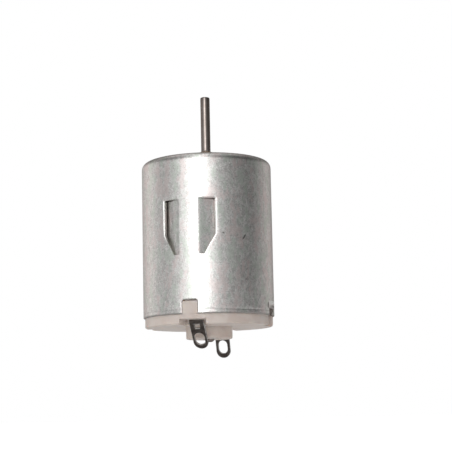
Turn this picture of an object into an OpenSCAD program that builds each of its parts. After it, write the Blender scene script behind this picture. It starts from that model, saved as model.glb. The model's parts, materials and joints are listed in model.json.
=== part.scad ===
// Small brushed permanent-magnet DC motor in a round drawn-steel can.
// Origin: centre of the can's front mounting face. +Z runs out of that face along the output shaft.
// The solder tags and the cap's keys lie on -Y and +Y. The magnets, crimps and face holes lie on -X and +X.

/* [Can] */
// Outer diameter of the can
can_d = 27.7; // [27:0.1:29]
// Length of the can from its front face to its open rim
can_len = 33.2; // [32.5:0.1:36]
// Sheet thickness of the can
can_wall = 0.8; // [0.7:0.05:0.9]
// Outside radius of the can's front shoulder
shoulder_r = 1.2; // [0.9:0.1:1.4]
// Outer diameter of the drawn front boss
boss_d = 6.15; // [6:0.05:7]
// Height of the front boss above the face
boss_h = 1.95; // [1.8:0.05:2.1]
// Distance between the two tapped holes in the face
screw_spacing = 16; // [14:0.5:17]
// Minor diameter of the tapped face holes
screw_hole_d = 2.1; // [1.6:0.1:2.2]

/* [Magnet stops] */
// Half angle from the key plane to the bend of each lanced stop
stop_bend_angle = 7.7; // [6:0.1:9]
// Half angle from the key plane to the sheared edge of each stop
stop_edge_angle = 23; // [22:0.1:24]
// Distance from the face down to the top edge of the stops
stop_top = 9.75; // [9:0.25:11]
// Distance from the face down to where the stops start to taper
stop_taper = 17; // [16:0.25:18]
// Distance from the face down to the lower end of the stops
stop_bottom = 21.1; // [20.5:0.1:22]
// How far the sheared edge of a stop is pushed inward
stop_depth = 1.4; // [1.2:0.1:1.5]

/* [Shaft] */
// Shaft diameter
shaft_d = 2; // [1.8:0.1:2.1]
// Length of shaft standing out of the front face
shaft_out = 14.6; // [10:0.1:20]
// Length of the domed shaft end behind the rear boss
shaft_tail = 0.6; // [0.4:0.1:0.8]
// Radial running clearance of the shaft in its bearings
bearing_play = 0.02; // [0.015:0.005:0.04]

/* [End cap] */
// Outer diameter of the cap's band below the can
cap_band_d = 27; // [26.8:0.1:27.2]
// Height of the cap's band below the can rim
cap_drop = 2.1; // [2:0.1:2.6]
// Width of the keys that sit in the can's notches
key_w = 3.2; // [3:0.1:3.4]
// Height of the can's notches above the rim
notch_h = 2.85; // [2.6:0.05:3.1]
// Diameter of the rear boss
rear_boss_d = 9.8; // [9.6:0.1:10.2]
// Height of the rear boss below the cap
rear_boss_h = 2.4; // [2.2:0.1:3.2]

/* [Solder tags] */
// Distance from the axis to the tags where they leave the cap
tag_offset = 9.3; // [9:0.1:9.6]
// Width of a tag
tag_w = 3.15; // [3:0.05:3.3]
// Thickness of a tag
tag_t = 0.4; // [0.3:0.05:0.5]
// Length of the front tag outside the cap, along the strip
tag_len = 6.4; // [6:0.1:7]
// How much further the rear tag stands out of the cap
rear_tag_out = 0.6; // [0:0.1:0.8]
// Inward lean of the front tag in degrees
front_tag_lean = 37.5; // [0:0.5:40]
// Inward lean of the rear tag in degrees, negative leans outward
rear_tag_lean = -16; // [-20:0.5:30]
// Width of the slotted eye in a tag
eye_w = 2; // [1.6:0.1:2]
// Length of the slotted eye in a tag
eye_len = 2.9; // [2.4:0.1:3.1]

/* [Magnets] */
// Inner diameter of the magnet pair
magnet_bore = 19; // [18.8:0.1:20]
// Axial length of the magnets
magnet_len = 20; // [18:0.5:20.5]

/* [Rotor] */
// Outer diameter of the three-pole core
core_d = 18.1; // [17:0.1:18.1]
// Axial length of the lamination stack
core_len = 16; // [14:0.5:16.5]
// Width of a pole's neck
neck_w = 2.8; // [2.4:0.1:3.2]
// Radial thickness of a pole shoe
shoe_t = 1.15; // [1:0.05:1.3]
// Opening between neighbouring pole shoes
slot_open = 1.6; // [1.4:0.1:2]
// Thickness of the slot insulators at the core's ends
insulator_t = 0.8; // [0.5:0.1:0.8]
// How far the coils stand past the insulators
coil_overhang = 2; // [1.6:0.1:2]
// Commutator diameter over the segments
comm_d = 5.3; // [5:0.1:5.4]
// Thickness of a commutator segment
segment_t = 0.35; // [0.3:0.05:0.4]
// Gap between neighbouring segments
segment_gap = 0.35; // [0.25:0.05:0.5]

/* [Brush gear] */
// Distance from the axis to the inner face of a brush arm
arm_offset = 3.7; // [3.6:0.05:3.8]
// Sheet thickness of a brush arm
arm_t = 0.15; // [0.12:0.01:0.2]
// Height of a brush arm along the axis
arm_h = 2.5; // [2.2:0.1:2.6]
// Width of a carbon brush
brush_w = 1.9; // [1.6:0.1:2.2]

/* [Hidden] */
$fn = 96;
eps = 0.01;
far = 60;
steel = [0.76, 0.76, 0.77];
bronze = [0.66, 0.49, 0.32];
ferrite = [0.22, 0.22, 0.24];
nylon = [0.90, 0.87, 0.83];
tinned = [0.55, 0.54, 0.54];
spring_bronze = [0.80, 0.62, 0.38];
carbon = [0.12, 0.12, 0.13];
core_steel = [0.45, 0.46, 0.48];
resin = [0.16, 0.36, 0.24];
copper = [0.72, 0.35, 0.18];
moulding = [0.24, 0.16, 0.12];
white_resin = [0.88, 0.88, 0.86];

// Can
can_r = can_d / 2;
can_ri = can_r - can_wall;
can_inner_corner = shoulder_r - can_wall;
rim_z = -can_len;
boss_r = boss_d / 2;
boss_corner = 0.5;
notch_w = key_w + 0.1;
notch_corner = 0.45;
crimp_w = 4;
crimp_h = 1.4;
crimp_lean = 28;
crimp_tongue_w = 3.2;
// The flat tongue starts this far inside the round can, so that its corners stay within it
crimp_inset = 0.1;
dent_r = 1.2;
dent_w = 3.6;
dent_depth = 0.3;
dent_z = rim_z + crimp_h + 0.65;
stop_x0 = can_r * sin(stop_bend_angle);
stop_x1 = can_r * sin(stop_edge_angle);
stop_tip_x = stop_x0 + 0.4 * (stop_x1 - stop_x0);
stop_y0 = can_r * cos(stop_bend_angle);
stop_y1 = can_r * cos(stop_edge_angle) - stop_depth;

// Bearings
bearing_d = 4.6;
bearing_bore = shaft_d + 2 * bearing_play;
bearing_chamfer = 0.25;
bearing_back_z = -1.4;
nose_d = 3.5;
nose_h = 0.45;
rear_bearing_d = 5;
rear_bearing_len = 3.6;

// End cap
cap_base_z = rim_z - cap_drop;
cap_floor_t = 2.3;
cap_floor_z = cap_base_z + cap_floor_t;
cap_skirt_z = cap_floor_z + 4.4;
cap_skirt_t = 1.6;
cap_fit = 0.05;
cap_plug_r = can_ri - cap_fit;
cap_band_r = cap_band_d / 2;
cap_corner = 0.35;
key_r = can_r - 0.25;
key_gap = 0.3;
boss_end_z = cap_base_z - rear_boss_h;
rear_boss_round = 0.3;
tail_hole_d = shaft_d + 0.6;
crimp_recess_w = 3.6;
crimp_recess_r = 12.1;
crimp_recess_z = rim_z + crimp_h + 0.2;
tag_recess_w = 5.6;
tag_recess_shift = 0.4;
tag_recess_h = 1.15;
tag_recess_r = 8.4;
tag_slot_play = 0.03;
tag_rib_t = 1.4;
tag_rib_w = 5.2;
tag_rib_z = cap_floor_z + 1.5;

// Solder tags
tag_root_z = cap_base_z + tag_recess_h;
tag_bend_r = 0.6;
tag_bend_z = tag_root_z - 0.1;
tag_head_z = cap_floor_z + 4.4;
tag_head_gap = 0.2;
tag_head_w = arm_offset + arm_t + tag_w / 2;
window_w0 = 1.4;
window_w1 = 1;
window_h = 1.1;
window_gap = 0.25;
eye_margin = 1;

// Brush gear
arm_z = cap_floor_z + 1.9;
arm_bend_r = 0.5;
arm_tail = 2.4;
brush_h = arm_h - 0.3;
brush_z = arm_z + 0.15;
brush_play = 0.06;
tag_inner_y = tag_offset - tag_t / 2;

// Magnets
magnet_end_x = stop_x1 + 0.06;
magnet_mid_z = -16;
magnet_top_z = magnet_mid_z + magnet_len / 2;
magnet_ri = magnet_bore / 2;
spring_wire_d = 1.1;
spring_leg_x = magnet_end_x - spring_wire_d / 2;
spring_y = 11.2;
spring_top_z = -7.2;
spring_bottom_z = -24;

// Rotor
shaft_r = shaft_d / 2;
shaft_tip_round = 0.25;
oil_groove_d = 1.6;
oil_groove_w = 0.75;
oil_groove_z = boss_h - 0.2;
shaft_tail_round = 0.6;
core_top_z = magnet_mid_z + core_len / 2;
core_bottom_z = magnet_mid_z - core_len / 2;
core_r = core_d / 2;
hub_r = 3;
shoe_ri = core_r - shoe_t;
shoe_half_angle = 60 - asin(slot_open / core_d);
liner_t = 0.25;
insulator_inset = 0.4;
coil_ri = hub_r + liner_t;
coil_ro = shoe_ri - liner_t;
coil_half_angle = 57;
coil_corner = 2;
coil_half_w = coil_ro * sin(coil_half_angle);
coil_top_z = core_top_z + insulator_t + coil_overhang;
coil_bottom_z = core_bottom_z - insulator_t - coil_overhang;
comm_r = comm_d / 2;
barrel_r = comm_r - segment_t;
barrel_rear_z = cap_floor_z + 0.8;
segment_rear_z = barrel_rear_z + 0.15;
segment_front_z = cap_floor_z + 5.2;
tang_t = 0.35;
tang_r = 4.5;
tang_w = 1.2;
segment_half_angle = 60 - asin(segment_gap / comm_d);
flange_t = 0.9;
flange_r = 3.1;
ring_h = 0.55;
ring_r = 3.05;
spacer_r = 2;
washer_t = 0.25;
washer_r = 2.2;
washer_gap = 0.02;
washer_play = 0.05;
front_stack_z = bearing_back_z - 0.15;
spacer_top_z = front_stack_z - 2 * washer_t - washer_gap;

// Filled half section with a rounded outer corner, its top edge on y = 0
module half_section(r, h, corner) {
  translate([0, -h]) square([r, h - corner]);
  translate([0, -corner]) square([r - corner, corner]);
  translate([r - corner, -corner]) intersection() {
    circle(corner);
    square(corner);
  }
}

module turned(r, h, corner) {
  rotate_extrude() half_section(r, h, corner);
}

// Tube along Z from z0 up to z1
module tube(ro, ri, z0, z1) {
  translate([0, 0, z0]) difference() {
    cylinder(r = ro, h = z1 - z0);
    translate([0, 0, -eps]) cylinder(r = ri, h = z1 - z0 + 2 * eps);
  }
}

// Rectangle with its two upper corners rounded, standing on y = 0
module arched_rect(w, h, corner) {
  translate([-w / 2, 0]) square([w, h - corner]);
  translate([corner - w / 2, h - corner]) square([w - 2 * corner, corner]);
  for (s = [-1, 1]) {
    translate([s * (w / 2 - corner), h - corner]) circle(corner);
  }
}

// Slot with round ends, centred, its length along y
module slot_2d(w, len) {
  for (s = [-1, 1]) {
    translate([0, s * (len - w) / 2]) circle(d = w);
  }
  square([w, len - w], center = true);
}

// Outline of one magnet stop, seen along Y, with x measured from the key plane
module stop_outline() {
  polygon([
    [stop_x0, -stop_top], [stop_x1, -stop_top], [stop_x1, -stop_taper],
    [stop_tip_x, -stop_bottom], [stop_x0, -stop_bottom]
  ]);
}

// Extrudes an outline in X and Z from the axis out to -Y
module project_front() {
  rotate([90, 0, 0]) linear_extrude(far) children();
}

// One bent stop tab on the +X side of the key plane
module stop_tab() {
  intersection() {
    project_front() stop_outline();
    translate([0, 0, -far]) linear_extrude(far) polygon([
      [stop_x0, -stop_y0], [stop_x1, -stop_y1],
      [stop_x1, -stop_y1 + can_wall], [stop_x0, -stop_y0 + can_wall]
    ]);
  }
}

// Tongue of can wall pressed inward over the cap, on the +X side
module crimp_tongue() {
  hinge_z = rim_z + crimp_h;
  hinge_r = can_r - crimp_inset;
  translate([hinge_r, 0, hinge_z]) rotate([0, crimp_lean, 0])
    translate([-can_wall + crimp_inset, -crimp_tongue_w / 2, -crimp_h])
      cube([can_wall - crimp_inset, crimp_tongue_w, crimp_h]);
}

// Notch in the rim for one key of the cap, at -Y
module key_notch() {
  translate([0, 0, rim_z - eps]) project_front() arched_rect(notch_w, notch_h + eps, notch_corner);
}

// Opening in the rim around one crimp tongue and the dent above it, at +X
module crimp_cutout() {
  translate([can_ri - 1, -crimp_w / 2, rim_z - eps]) cube([3, crimp_w, crimp_h + eps]);
  translate([can_r + dent_r - dent_depth, 0, dent_z])
    rotate([90, 0, 0]) cylinder(r = dent_r, h = dent_w, center = true);
}

module can() {
  color(steel) difference() {
    union() {
      difference() {
        turned(can_r, can_len, shoulder_r);
        translate([0, 0, -can_wall]) turned(can_ri, can_len, can_inner_corner);
        for (s = [0, 1]) {
          mirror([s, 0, 0]) project_front() stop_outline();
          rotate(180 * s) key_notch();
          rotate(180 * s) crimp_cutout();
        }
      }
      translate([0, 0, boss_h]) turned(boss_r, boss_h + can_wall, boss_corner);
      for (s = [0, 1]) {
        mirror([s, 0, 0]) stop_tab();
        mirror([s, 0, 0]) crimp_tongue();
      }
    }
    translate([0, 0, -can_wall - 1]) cylinder(d = bearing_d, h = boss_h + can_wall + 2);
    for (s = [-1, 1]) {
      translate([s * screw_spacing / 2, 0, -can_wall - 1]) cylinder(d = screw_hole_d, h = can_wall + 2);
    }
  }
}

module front_bearing() {
  ro = bearing_d / 2;
  ri = bearing_bore / 2;
  top = boss_h + nose_h;
  c = bearing_chamfer;
  color(bronze) rotate_extrude() polygon([
    [ri, bearing_back_z], [ro - c, bearing_back_z], [ro, bearing_back_z + c], [ro, boss_h - c],
    [ro - c, boss_h], [nose_d / 2, boss_h], [nose_d / 2, top - c], [nose_d / 2 - c, top], [ri, top]
  ]);
}

module magnet(side) {
  color(ferrite) intersection() {
    tube(can_ri, magnet_ri, magnet_top_z - magnet_len, magnet_top_z);
    translate([side > 0 ? magnet_end_x : -magnet_end_x - far, -far, -far]) cube([far, 2 * far, far]);
  }
}

module magnet_left() {
  magnet(-1);
}

module magnet_right() {
  magnet(1);
}

// Hairpin of spring wire that pushes the two magnets apart against the stops
module magnet_spring() {
  leg_len = spring_top_z - spring_bottom_z;
  color(tinned) translate([0, spring_y, 0]) {
    for (s = [-1, 1]) {
      translate([s * spring_leg_x, 0, spring_bottom_z]) cylinder(d = spring_wire_d, h = leg_len);
      translate([s * spring_leg_x, 0, spring_bottom_z]) sphere(d = spring_wire_d);
    }
    translate([0, 0, spring_top_z]) rotate([90, 0, 0])
      rotate_extrude(angle = 180) translate([spring_leg_x, 0]) circle(d = spring_wire_d);
  }
}

// Block on the cap's floor that grips one tag, at -Y
module tag_rib() {
  translate([-tag_rib_w / 2, -tag_offset - tag_rib_t / 2, cap_floor_z - eps])
    cube([tag_rib_w, tag_rib_t, tag_rib_z - cap_floor_z + eps]);
}

// Key on the band that fills one notch of the can, at -Y
module cap_key() {
  key_t = key_r - cap_plug_r + cap_skirt_t;
  translate([-key_w / 2, -key_r, rim_z - eps]) cube([key_w, key_t, notch_h - key_gap + eps]);
}

// Slot and outside recess for one tag, at -Y. The recess is wider on the +X side
module tag_cutout() {
  slot_w = tag_w + 2 * tag_slot_play;
  slot_t = tag_t + 2 * tag_slot_play;
  translate([-slot_w / 2, -tag_offset - slot_t / 2, cap_base_z])
    cube([slot_w, slot_t, tag_rib_z - cap_base_z + 1]);
  translate([tag_recess_shift - tag_recess_w / 2, -far - tag_recess_r, cap_base_z - 1])
    cube([tag_recess_w, far, tag_recess_h + 1]);
}

// Recess that lets one crimp tongue fold in, at +X
module crimp_recess() {
  translate([crimp_recess_r, -crimp_recess_w / 2, cap_base_z - 1])
    cube([far, crimp_recess_w, crimp_recess_z - cap_base_z + 1]);
}

module end_cap() {
  color(nylon) difference() {
    union() {
      translate([0, 0, cap_base_z]) mirror([0, 0, 1]) turned(cap_band_r, cap_drop, cap_corner);
      translate([0, 0, cap_base_z + cap_corner]) cylinder(r = cap_plug_r, h = cap_floor_t - cap_corner);
      tube(cap_plug_r, cap_plug_r - cap_skirt_t, cap_floor_z - eps, cap_skirt_z);
      translate([0, 0, boss_end_z]) mirror([0, 0, 1])
        turned(rear_boss_d / 2, rear_boss_h + eps, rear_boss_round);
      for (a = [0, 180]) {
        rotate(a) tag_rib();
        rotate(a) cap_key();
      }
    }
    translate([0, 0, cap_floor_z - rear_bearing_len])
      cylinder(d = rear_bearing_d, h = rear_bearing_len + 1);
    translate([0, 0, boss_end_z - 1]) cylinder(d = tail_hole_d, h = rear_boss_h + 1);
    for (a = [0, 180]) {
      rotate(a) tag_cutout();
      rotate(a) crimp_recess();
    }
  }
}

module rear_bearing() {
  ro = rear_bearing_d / 2;
  ri = bearing_bore / 2;
  bottom = cap_floor_z - rear_bearing_len;
  c = bearing_chamfer;
  color(bronze) rotate_extrude() polygon([
    [ri, bottom], [ro - c, bottom], [ro, bottom + c],
    [ro, cap_floor_z - c], [ro - c, cap_floor_z], [ri, cap_floor_z]
  ]);
}

// Flat outline of a tag's blade, x across it and y up, the bend at y = 0
module blade_outline(len) {
  tip_r = tag_w / 2;
  difference() {
    union() {
      translate([-tip_r, tip_r - len]) square([tag_w, len - tip_r]);
      translate([0, tip_r - len]) circle(tip_r);
    }
    translate([0, eye_margin + eye_len / 2 - len]) slot_2d(eye_w, eye_len);
    polygon([
      [-window_w0 / 2, -window_gap], [window_w0 / 2, -window_gap],
      [window_w1 / 2, -window_gap - window_h], [-window_w1 / 2, -window_gap - window_h]
    ]);
  }
}

// Solder tag at -Y: head inside the cap, bend and slotted blade outside
module solder_tag(lean, len) {
  side = lean < 0 ? -1 : 1;
  mid_r = tag_bend_r + tag_t / 2;
  head_z = tag_rib_z + tag_head_gap;
  translate([0, tag_t / 2 - tag_offset, 0]) rotate([90, 0, 0]) linear_extrude(tag_t) {
    translate([-tag_w / 2, tag_bend_z]) square([tag_w, tag_head_z - tag_bend_z]);
    translate([-tag_w / 2, head_z]) square([tag_head_w, tag_head_z - head_z]);
  }
  translate([0, side * mid_r - tag_offset, tag_bend_z]) {
    rotate(side < 0 ? 180 : 0) rotate([-90, 0, 0]) rotate([0, 90, 0])
      rotate_extrude(angle = abs(lean)) translate([tag_bend_r, -tag_w / 2]) square([tag_t, tag_w]);
    rotate([lean, 0, 0]) translate([0, tag_t / 2 - side * mid_r, 0])
      rotate([90, 0, 0]) linear_extrude(tag_t) blade_outline(len);
  }
}

module front_tag() {
  color(tinned) solder_tag(front_tag_lean, tag_len);
}

module rear_tag() {
  color(tinned) rotate(180) solder_tag(rear_tag_lean, tag_len + rear_tag_out);
}

// Leaf spring: a foot on the tag's inner face, a bend, and an arm past the commutator on the +X side
module brush_arm() {
  foot_x = -tag_w / 2 + 0.3;
  bend_ro = arm_bend_r + arm_t;
  bend_x = arm_offset - arm_bend_r;
  bend_y = bend_ro - tag_inner_y;
  color(spring_bronze) translate([0, 0, arm_z]) linear_extrude(arm_h) {
    translate([foot_x, -tag_inner_y]) square([bend_x - foot_x, arm_t]);
    translate([arm_offset, bend_y]) square([arm_t, arm_tail - bend_y]);
    translate([bend_x, bend_y]) intersection() {
      difference() {
        circle(bend_ro);
        circle(arm_bend_r);
      }
      translate([0, -far]) square(far);
    }
  }
}

module front_brush_arm() {
  brush_arm();
}

module rear_brush_arm() {
  rotate(180) brush_arm();
}

module carbon_brush() {
  color(carbon) difference() {
    translate([0, -brush_w / 2, brush_z]) cube([arm_offset, brush_w, brush_h]);
    translate([0, 0, brush_z - 1]) cylinder(r = comm_r + brush_play, h = brush_h + 2);
  }
}

module front_carbon_brush() {
  carbon_brush();
}

module rear_carbon_brush() {
  rotate(180) carbon_brush();
}

module shaft() {
  groove_top_z = oil_groove_z + oil_groove_w;
  tail_z = boss_end_z - shaft_tail;
  color(steel) {
    translate([0, 0, shaft_out]) turned(shaft_r, shaft_out - groove_top_z, shaft_tip_round);
    translate([0, 0, oil_groove_z - eps]) cylinder(d = oil_groove_d, h = oil_groove_w + 2 * eps);
    translate([0, 0, tail_z]) mirror([0, 0, 1]) turned(shaft_r, oil_groove_z - tail_z, shaft_tail_round);
  }
}

// Sector of a ring in the plane, symmetric about +X
module ring_sector(ro, ri, half_angle) {
  intersection() {
    difference() {
      circle(ro);
      circle(ri);
    }
    polygon([[0, 0], far * [cos(half_angle), -sin(half_angle)], far * [cos(half_angle), sin(half_angle)]]);
  }
}

// Three-pole plan of the core or of an insulator around the shaft
module pole_plan(hub, neck, rim) {
  difference() {
    union() {
      circle(hub);
      for (i = [0 : 2]) {
        rotate(120 * i) translate([0, -neck / 2]) square([shoe_ri + 0.2, neck]);
        rotate(120 * i) ring_sector(rim, shoe_ri, shoe_half_angle);
      }
    }
    circle(shaft_r);
  }
}

module lamination_stack() {
  color(core_steel) translate([0, 0, core_bottom_z]) linear_extrude(core_len)
    pole_plan(hub_r, neck_w, core_r);
}

module insulator(z) {
  color(resin) translate([0, 0, z]) linear_extrude(insulator_t)
    pole_plan(coil_ri, neck_w + 2 * liner_t, core_r - insulator_inset);
}

module front_insulator() {
  insulator(core_top_z);
}

module rear_insulator() {
  insulator(core_bottom_z - insulator_t);
}

// Coil around one pole: the plan of its slots, a rounded side profile and a hole for the insulated neck
module winding(i) {
  hole_w = neck_w + 2 * liner_t;
  hole_z = core_bottom_z - insulator_t;
  hole_h = core_len + 2 * insulator_t;
  coil_h = coil_top_z - coil_bottom_z;
  color(copper) rotate(120 * i) difference() {
    intersection() {
      translate([0, 0, coil_bottom_z]) linear_extrude(coil_h)
        ring_sector(coil_ro, coil_ri, coil_half_angle);
      translate([0, 0, coil_bottom_z + coil_h / 2]) rotate([90, 0, 90]) linear_extrude(far) {
        square([2 * (coil_half_w - coil_corner), coil_h], center = true);
        square([2 * coil_half_w, coil_h - 2 * coil_corner], center = true);
        for (x = [-1, 1], y = [-1, 1]) {
          translate([x * (coil_half_w - coil_corner), y * (coil_h / 2 - coil_corner)]) circle(coil_corner);
        }
      }
    }
    translate([0, -hole_w / 2, hole_z]) cube([far, hole_w, hole_h]);
  }
}

module commutator_barrel() {
  color(moulding) {
    tube(barrel_r, shaft_r, barrel_rear_z, core_bottom_z - insulator_t);
    tube(flange_r, barrel_r - eps, segment_front_z, segment_front_z + flange_t);
  }
}

module commutator_segment(i) {
  color(copper) rotate(120 * i + 60) {
    translate([0, 0, segment_rear_z]) linear_extrude(segment_front_z - segment_rear_z)
      ring_sector(comm_r, barrel_r, segment_half_angle);
    translate([comm_r - segment_t / 2, -tang_w / 2, segment_front_z - tang_t])
      cube([tang_r - comm_r + segment_t / 2, tang_w, tang_t]);
  }
}

module commutator_ring() {
  color(moulding) tube(ring_r, comm_r, segment_rear_z, segment_rear_z + ring_h);
}

module front_spacer() {
  color(white_resin) tube(spacer_r, shaft_r, core_top_z + insulator_t, spacer_top_z);
}

// Two loose washers stacked downward from z
module washer_pair(z) {
  for (i = [0, 1]) {
    top = z - i * (washer_t + washer_gap);
    color(moulding) tube(washer_r, shaft_r + washer_play, top - washer_t, top);
  }
}

module front_washers() {
  washer_pair(front_stack_z);
}

module rear_washers() {
  washer_pair(barrel_rear_z);
}

can();
front_bearing();
magnet_left();
magnet_right();
magnet_spring();
end_cap();
rear_bearing();
front_tag();
rear_tag();
front_brush_arm();
rear_brush_arm();
front_carbon_brush();
rear_carbon_brush();
shaft();
lamination_stack();
front_insulator();
rear_insulator();
winding(0);  // winding_1
winding(1);  // winding_2
winding(2);  // winding_3
commutator_barrel();
commutator_segment(0);  // commutator_segment_1
commutator_segment(1);  // commutator_segment_2
commutator_segment(2);  // commutator_segment_3
commutator_ring();
front_spacer();
front_washers();
rear_washers();
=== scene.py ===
"""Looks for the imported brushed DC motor: steel can, nylon cap, tinned solder tags and a thin shaft.

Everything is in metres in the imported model's frame: the front face is at z = 0, +Z runs along the
shaft, and the lanced stops, one cap key and the front tag are on -Y. An angle "theta" is measured
round the can from -Y towards +X.
"""

import json
import math

import bmesh
import bpy
from mathutils import Matrix, Vector


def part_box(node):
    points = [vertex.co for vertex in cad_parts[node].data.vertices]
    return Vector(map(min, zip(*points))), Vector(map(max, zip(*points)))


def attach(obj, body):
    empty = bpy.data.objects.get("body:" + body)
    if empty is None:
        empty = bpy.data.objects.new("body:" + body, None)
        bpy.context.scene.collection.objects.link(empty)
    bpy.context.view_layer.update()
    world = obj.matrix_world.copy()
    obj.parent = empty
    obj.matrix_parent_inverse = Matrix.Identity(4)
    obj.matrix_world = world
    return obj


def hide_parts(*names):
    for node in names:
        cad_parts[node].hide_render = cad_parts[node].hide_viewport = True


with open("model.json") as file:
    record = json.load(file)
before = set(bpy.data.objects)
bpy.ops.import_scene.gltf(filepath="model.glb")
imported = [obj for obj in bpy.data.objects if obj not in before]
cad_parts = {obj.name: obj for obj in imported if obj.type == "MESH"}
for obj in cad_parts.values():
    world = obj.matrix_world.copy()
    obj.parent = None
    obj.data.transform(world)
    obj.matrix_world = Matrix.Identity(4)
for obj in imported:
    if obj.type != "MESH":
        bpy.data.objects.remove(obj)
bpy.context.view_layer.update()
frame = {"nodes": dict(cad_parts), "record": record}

MM = 0.001
STATOR = "stator"
ROTOR = "rotor"

# Edges sharper than this many degrees stay sharp, and faces flatter than this angle are merged
SHARP_ANGLE = 35.0
FLAT_ANGLE = math.radians(0.5)
# Points closer than this are one point, in metres and in mm
WELD = 1e-6
WELD_MM = 1e-6
# A radius below this lies on the axis
ON_AXIS = 1e-7
# Decimal places that tell two grid keys apart, and the slack when a gap is divided
KEY_DIGITS = 6
GAP_SLACK = 1e-6
BEVEL_SEGMENTS = 3
# Colour sockets of a Mix node
MIX_A = 6
MIX_B = 7
MIX_RESULT = 2
# Face attribute of the narrow strips of the rounded edges, which get a painted highlight
EDGE_HIGHLIGHT = "edge_highlight"

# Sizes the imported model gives
CAN_LO, CAN_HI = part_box("can")
CAN_R = CAN_HI.x
RIM_Z = CAN_LO.z
BOSS_Z = CAN_HI.z
MOUNTS = {m["name"]: m for m in frame["record"]["mounts"]}
BOSS_R = MOUNTS["front_boss"]["dims"]["r_mm"] * MM
FACE_HOLE_R = MOUNTS["face_holes"]["dims"]["hole_r_mm"] * MM
FACE_HOLE_X = MOUNTS["face_holes"]["dims"]["spacing_x_mm"] * MM / 2
BEARING_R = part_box("front_bearing")[1].x

# Camera: where it stands round the motor, and what it aims at
VIEW_AZIMUTH = math.radians(16.4)
CAMERA_AWAY = 0.2726
CAMERA_Z = -0.0531
AIM_RIGHT = 0.0040
AIM_Z = -0.0136
CAMERA_ROLL = math.radians(-1.2)
CAMERA_LENS = 102.5
CLIP_START = 0.01
CLIP_END = 20


def add_camera():
    """Stands below the front face and looks slightly up, so that the can hides its own face."""
    right = Vector((math.cos(VIEW_AZIMUTH), math.sin(VIEW_AZIMUTH), 0))
    away = Vector((math.sin(VIEW_AZIMUTH), -math.cos(VIEW_AZIMUTH), 0))
    place = away * CAMERA_AWAY + Vector((0, 0, CAMERA_Z))
    aim = right * AIM_RIGHT + Vector((0, 0, AIM_Z))
    data = bpy.data.cameras.new("camera")
    data.lens = CAMERA_LENS
    data.clip_start = CLIP_START
    data.clip_end = CLIP_END
    camera = bpy.data.objects.new("camera", data)
    turn = (aim - place).to_track_quat("-Z", "Y").to_matrix().to_4x4()
    camera.matrix_world = Matrix.Translation(place) @ turn @ Matrix.Rotation(CAMERA_ROLL, 4, "Z")
    bpy.context.collection.objects.link(camera)
    bpy.context.scene.camera = camera


# ---------------------------------------------------------------- node helpers


class Nodes:
    """A short way to write a node tree."""

    def __init__(self, tree):
        self.tree = tree

    def add(self, kind, **values):
        node = self.tree.nodes.new(kind)
        for key, value in values.items():
            setattr(node, key, value)
        return node

    def link(self, a, b):
        self.tree.links.new(a, b)

    def set(self, socket, value):
        """Links a socket or sets a constant."""
        if isinstance(value, bpy.types.NodeSocket):
            self.link(value, socket)
        else:
            socket.default_value = value

    def math(self, op, a, b=0.0):
        node = self.add("ShaderNodeMath", operation=op)
        self.set(node.inputs[0], a)
        self.set(node.inputs[1], b)
        return node.outputs[0]

    def sum(self, a, b):
        return self.math("ADD", a, b)

    def scaled(self, a, b):
        return self.math("MULTIPLY", a, b)

    def spread(self, value, low, high, to_low=0.0, to_high=1.0):
        """Smoothly maps a value from one range to another and holds it at the ends."""
        node = self.add("ShaderNodeMapRange", interpolation_type="SMOOTHSTEP")
        for socket, v in zip(node.inputs, (value, low, high, to_low, to_high)):
            self.set(socket, v)
        return node.outputs[0]

    def mix(self, factor, a, b, blend="MIX"):
        node = self.add("ShaderNodeMix", data_type="RGBA", blend_type=blend)
        self.set(node.inputs[0], factor)
        self.set(node.inputs[MIX_A], a)
        self.set(node.inputs[MIX_B], b)
        return node.outputs[MIX_RESULT]

    def noise(self, vector, scale, detail, rough):
        """Noise with its scale in features per metre."""
        node = self.add("ShaderNodeTexNoise")
        self.set(node.inputs["Vector"], vector)
        node.inputs["Scale"].default_value = scale
        node.inputs["Detail"].default_value = detail
        node.inputs["Roughness"].default_value = rough
        return node.outputs["Fac"]

    def stretch(self, vector, scale):
        node = self.add("ShaderNodeVectorMath", operation="MULTIPLY")
        self.set(node.inputs[0], vector)
        node.inputs[1].default_value = scale
        return node.outputs[0]

    def dot(self, vector, direction):
        node = self.add("ShaderNodeVectorMath", operation="DOT_PRODUCT")
        self.link(vector, node.inputs[0])
        node.inputs[1].default_value = direction
        return node.outputs["Value"]

    def axes(self, vector):
        """The X, Y and Z of a vector."""
        node = self.add("ShaderNodeSeparateXYZ")
        self.link(vector, node.inputs[0])
        return node.outputs

    def attribute(self, name):
        return self.add("ShaderNodeAttribute", attribute_name=name).outputs["Fac"]

    def camera_ray(self):
        return self.add("ShaderNodeLightPath").outputs["Is Camera Ray"]

    def bump(self, height, distance, strength):
        node = self.add("ShaderNodeBump")
        self.set(node.inputs["Height"], height)
        node.inputs["Distance"].default_value = distance
        node.inputs["Strength"].default_value = strength
        return node.outputs[0]


def new_material(name, preview):
    """An empty material: its node writer, its shader and its object coordinates."""
    material = bpy.data.materials.new(name)
    material.use_nodes = True
    material.diffuse_color = (*preview, 1)
    nodes = Nodes(material.node_tree)
    shader = material.node_tree.nodes["Principled BSDF"]
    place = nodes.add("ShaderNodeTexCoord").outputs["Object"]
    return material, nodes, shader, place


def rgb(red, green, blue):
    return (red, green, blue, 1.0)


# ---------------------------------------------------------------- mesh helpers


def on_can(theta, z, radius):
    """A point from its angle round the can in degrees, its height and its distance from the axis."""
    a = math.radians(theta)
    return Vector((radius * math.sin(a), -radius * math.cos(a), z))


def smoothstep(t):
    t = max(0.0, min(1.0, t))
    return t * t * (3 - 2 * t)


def between(t, a, b):
    return a + (b - a) * t


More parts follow.
